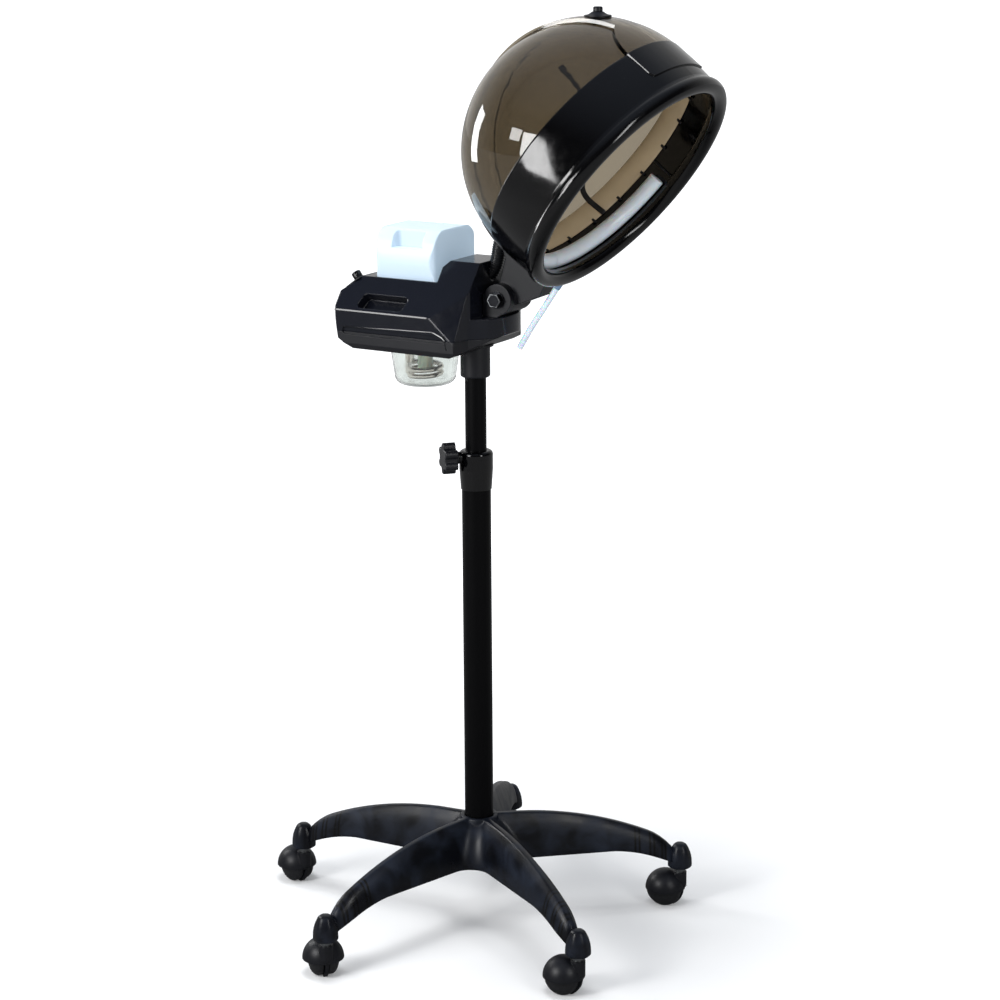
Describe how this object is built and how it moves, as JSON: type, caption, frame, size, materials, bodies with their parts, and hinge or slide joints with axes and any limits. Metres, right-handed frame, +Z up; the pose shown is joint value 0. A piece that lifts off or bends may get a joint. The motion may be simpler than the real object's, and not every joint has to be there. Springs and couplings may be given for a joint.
{
  "type": "hooded hair steamer",
  "caption": "Hooded hair and scalp steamer: smoked tilting dome, water tank and boiler head on a height-adjustable mast with a rolling star base.",
  "frame": {"origin": "on the floor, on the mast's axis", "axes": "+X the way the hood faces, +Y to the left of someone facing that way, +Z up the mast"},
  "size_m": [0.6514, 0.5787, 1.2388],
  "materials": {
    "satin_plastic": "satin black injection-moulded plastic",
    "gloss_plastic": "glossy black plastic",
    "mast_enamel": "semi-matte black enamel on steel tube",
    "chrome": "polished chrome",
    "steel": "zinc-plated steel",
    "wheel_plastic": "hard black tread plastic, slightly scuffed",
    "smoke": "transparent smoke-tinted acrylic, polished",
    "tank_plastic": "milky translucent polyethylene",
    "clear_plastic": "clear polycarbonate, polished",
    "feed_plastic": "pale green translucent plastic",
    "steam_plastic": "white plastic tube, semi-matte",
    "hose": "translucent bluish silicone hose",
    "seal": "grey silicone rubber",
    "panel": "dark satin control panel"
  },
  "bodies": {
    "base": {"star_base": "satin_plastic", "hub_bolt": "steel", "lower_tube": "mast_enamel", "guide_bush": "satin_plastic", "height_collar": "gloss_plastic"},
    "clamp": {"clamp_knob": "satin_plastic", "clamp_screw": "steel"},
    "mast": {"upper_tube": "mast_enamel", "slide_guide": "satin_plastic"},
    "head": {"mast_socket": "satin_plastic", "upper_housing": "gloss_plastic", "lower_housing": "satin_plastic", "housing_screws": "steel", "control_panel": "panel", "timer_unit": "satin_plastic", "power_inlet": "satin_plastic", "cup_ring": "satin_plastic", "cup_gasket": "seal", "heater_flange": "steel", "heater_coil": "chrome", "feed_tube": "feed_plastic", "steam_chamber": "satin_plastic", "steam_nozzle": "feed_plastic", "tilt_bracket": "satin_plastic", "pivot_bolt": "steel", "pivot_nut": "steel"},
    "hood": {"hood_arm": "satin_plastic", "dome_shell": "smoke", "rim_ring": "gloss_plastic", "steam_tube": "steam_plastic", "drain_spout": "satin_plastic", "drain_hose": "hose", "vent_seat": "satin_plastic"},
    "vent": {"vent_knob": "satin_plastic"},
    "timer": {"timer_knob": "gloss_plastic"},
    "rocker": {"power_switch": "gloss_plastic"},
    "tank": {"water_tank": "tank_plastic"},
    "cap": {"tank_cap": "tank_plastic"},
    "valve": {"tank_valve": "steel"},
    "cup": {"boiler_cup": "clear_plastic"},
    "caster_1": {"caster_hood_1": "satin_plastic", "caster_pins_1": "steel"},
    "wheel_left_1": {"caster_wheel_left_1": "wheel_plastic"},
    "wheel_right_1": {"caster_wheel_right_1": "wheel_plastic"},
    "caster_2": {"caster_hood_2": "satin_plastic", "caster_pins_2": "steel"},
    "wheel_left_2": {"caster_wheel_left_2": "wheel_plastic"},
    "wheel_right_2": {"caster_wheel_right_2": "wheel_plastic"},
    "caster_3": {"caster_hood_3": "satin_plastic", "caster_pins_3": "steel"},
    "wheel_left_3": {"caster_wheel_left_3": "wheel_plastic"},
    "wheel_right_3": {"caster_wheel_right_3": "wheel_plastic"},
    "caster_4": {"caster_hood_4": "satin_plastic", "caster_pins_4": "steel"},
    "wheel_left_4": {"caster_wheel_left_4": "wheel_plastic"},
    "wheel_right_4": {"caster_wheel_right_4": "wheel_plastic"},
    "caster_5": {"caster_hood_5": "satin_plastic", "caster_pins_5": "steel"},
    "wheel_left_5": {"caster_wheel_left_5": "wheel_plastic"},
    "wheel_right_5": {"caster_wheel_right_5": "wheel_plastic"}
  },
  "joints": [
    {"name": "caster_swivel_1", "type": "hinge", "parent": "base", "child": "caster_1", "pos_m": [-0.27935, -0.01904, 0.05], "axis": [0, 0, 1], "continuous": true},
    {"name": "wheel_left_spin_1", "type": "hinge", "parent": "caster_1", "child": "wheel_left_1", "pos_m": [-0.2979, -0.01155, 0.023], "axis": [-0.3746, -0.9272, 0], "continuous": true},
    {"name": "wheel_right_spin_1", "type": "hinge", "parent": "caster_1", "child": "wheel_right_1", "pos_m": [-0.2979, -0.01155, 0.023], "axis": [-0.3746, -0.9272, 0], "continuous": true},
    {"name": "caster_swivel_2", "type": "hinge", "parent": "base", "child": "caster_2", "pos_m": [-0.06821, -0.27156, 0.05], "axis": [0, 0, 1], "continuous": true},
    {"name": "wheel_left_spin_2", "type": "hinge", "parent": "caster_2", "child": "wheel_left_2", "pos_m": [-0.0826, -0.25767, 0.023], "axis": [-0.6947, -0.7193, 0], "continuous": true},
    {"name": "wheel_right_spin_2", "type": "hinge", "parent": "caster_2", "child": "wheel_right_2", "pos_m": [-0.0826, -0.25767, 0.023], "axis": [-0.6947, -0.7193, 0], "continuous": true},
    {"name": "caster_swivel_3", "type": "hinge", "parent": "base", "child": "caster_3", "pos_m": [0.23719, -0.14879, 0.05], "axis": [0, 0, 1], "continuous": true},
    {"name": "wheel_left_spin_3", "type": "hinge", "parent": "caster_3", "child": "wheel_left_3", "pos_m": [0.21727, -0.15054, 0.023], "axis": [0.0872, -0.9962, 0], "continuous": true},
    {"name": "wheel_right_spin_3", "type": "hinge", "parent": "caster_3", "child": "wheel_right_3", "pos_m": [0.21727, -0.15054, 0.023], "axis": [0.0872, -0.9962, 0], "continuous": true},
    {"name": "caster_swivel_4", "type": "hinge", "parent": "base", "child": "caster_4", "pos_m": [0.21481, 0.17961, 0.05], "axis": [0, 0, 1], "continuous": true},
    {"name": "wheel_left_spin_4", "type": "hinge", "parent": "caster_4", "child": "wheel_left_4", "pos_m": [0.19601, 0.17277, 0.023], "axis": [0.342, -0.9397, 0], "continuous": true},
    {"name": "wheel_right_spin_4", "type": "hinge", "parent": "caster_4", "child": "wheel_right_4", "pos_m": [0.19601, 0.17277, 0.023], "axis": [0.342, -0.9397, 0], "continuous": true},
    {"name": "caster_swivel_5", "type": "hinge", "parent": "base", "child": "caster_5", "pos_m": [-0.10444, 0.25979, 0.05], "axis": [0, 0, 1], "continuous": true},
    {"name": "wheel_left_spin_5", "type": "hinge", "parent": "caster_5", "child": "wheel_left_5", "pos_m": [-0.12413, 0.26327, 0.023], "axis": [-0.1736, -0.9848, 0], "continuous": true},
    {"name": "wheel_right_spin_5", "type": "hinge", "parent": "caster_5", "child": "wheel_right_5", "pos_m": [-0.12413, 0.26327, 0.023], "axis": [-0.1736, -0.9848, 0], "continuous": true},
    {"name": "clamp_turn", "type": "hinge", "parent": "base", "child": "clamp", "pos_m": [0, 0, 0.65], "axis": [-0.6871, -0.7266, 0], "range_deg": [0, 360]},
    {"name": "mast_slide", "type": "slide", "parent": "base", "child": "mast", "axis": [0, 0, 1], "range_m": [-0.065, 0.22]},
    {"name": "head_swivel", "type": "hinge", "parent": "mast", "child": "head", "pos_m": [0, 0, 0.79], "axis": [0, 0, 1], "continuous": true},
    {"name": "hood_tilt", "type": "hinge", "parent": "head", "child": "hood", "pos_m": [0.05, 0, 0.866], "axis": [0, 1, 0], "range_deg": [-25, 15]},
    {"name": "vent_turn", "type": "hinge", "parent": "hood", "child": "vent", "pos_m": [0.18, 0, 1.23], "axis": [0, 0, 1], "range_deg": [0, 90]},
    {"name": "timer_turn", "type": "hinge", "parent": "head", "child": "timer", "pos_m": [-0.15, -0.04, 0.8765], "axis": [-0.59, 0, 0.8074], "range_deg": [-300, 0]},
    {"name": "power_rock", "type": "hinge", "parent": "head", "child": "rocker", "pos_m": [-0.14764, 0.012, 0.87327], "axis": [0.8074, 0, 0.59], "range_deg": [-6, 6]},
    {"name": "tank_lift", "type": "slide", "parent": "head", "child": "tank", "axis": [0, 0, 1], "range_m": [0, 0.11]},
    {"name": "cap_turn", "type": "hinge", "parent": "tank", "child": "cap", "pos_m": [-0.074, 0, 0.855], "axis": [0, 0, 1], "range_deg": [0, 180]},
    {"name": "valve_press", "type": "slide", "parent": "cap", "child": "valve", "axis": [0, 0, 1], "range_m": [0, 0.002], "stiffness_N_per_m": 300},
    {"name": "cup_twist", "type": "hinge", "parent": "head", "child": "cup", "pos_m": [-0.077, 0, 0.77], "axis": [0, 0, 1], "range_deg": [0, 35]}
  ]
}
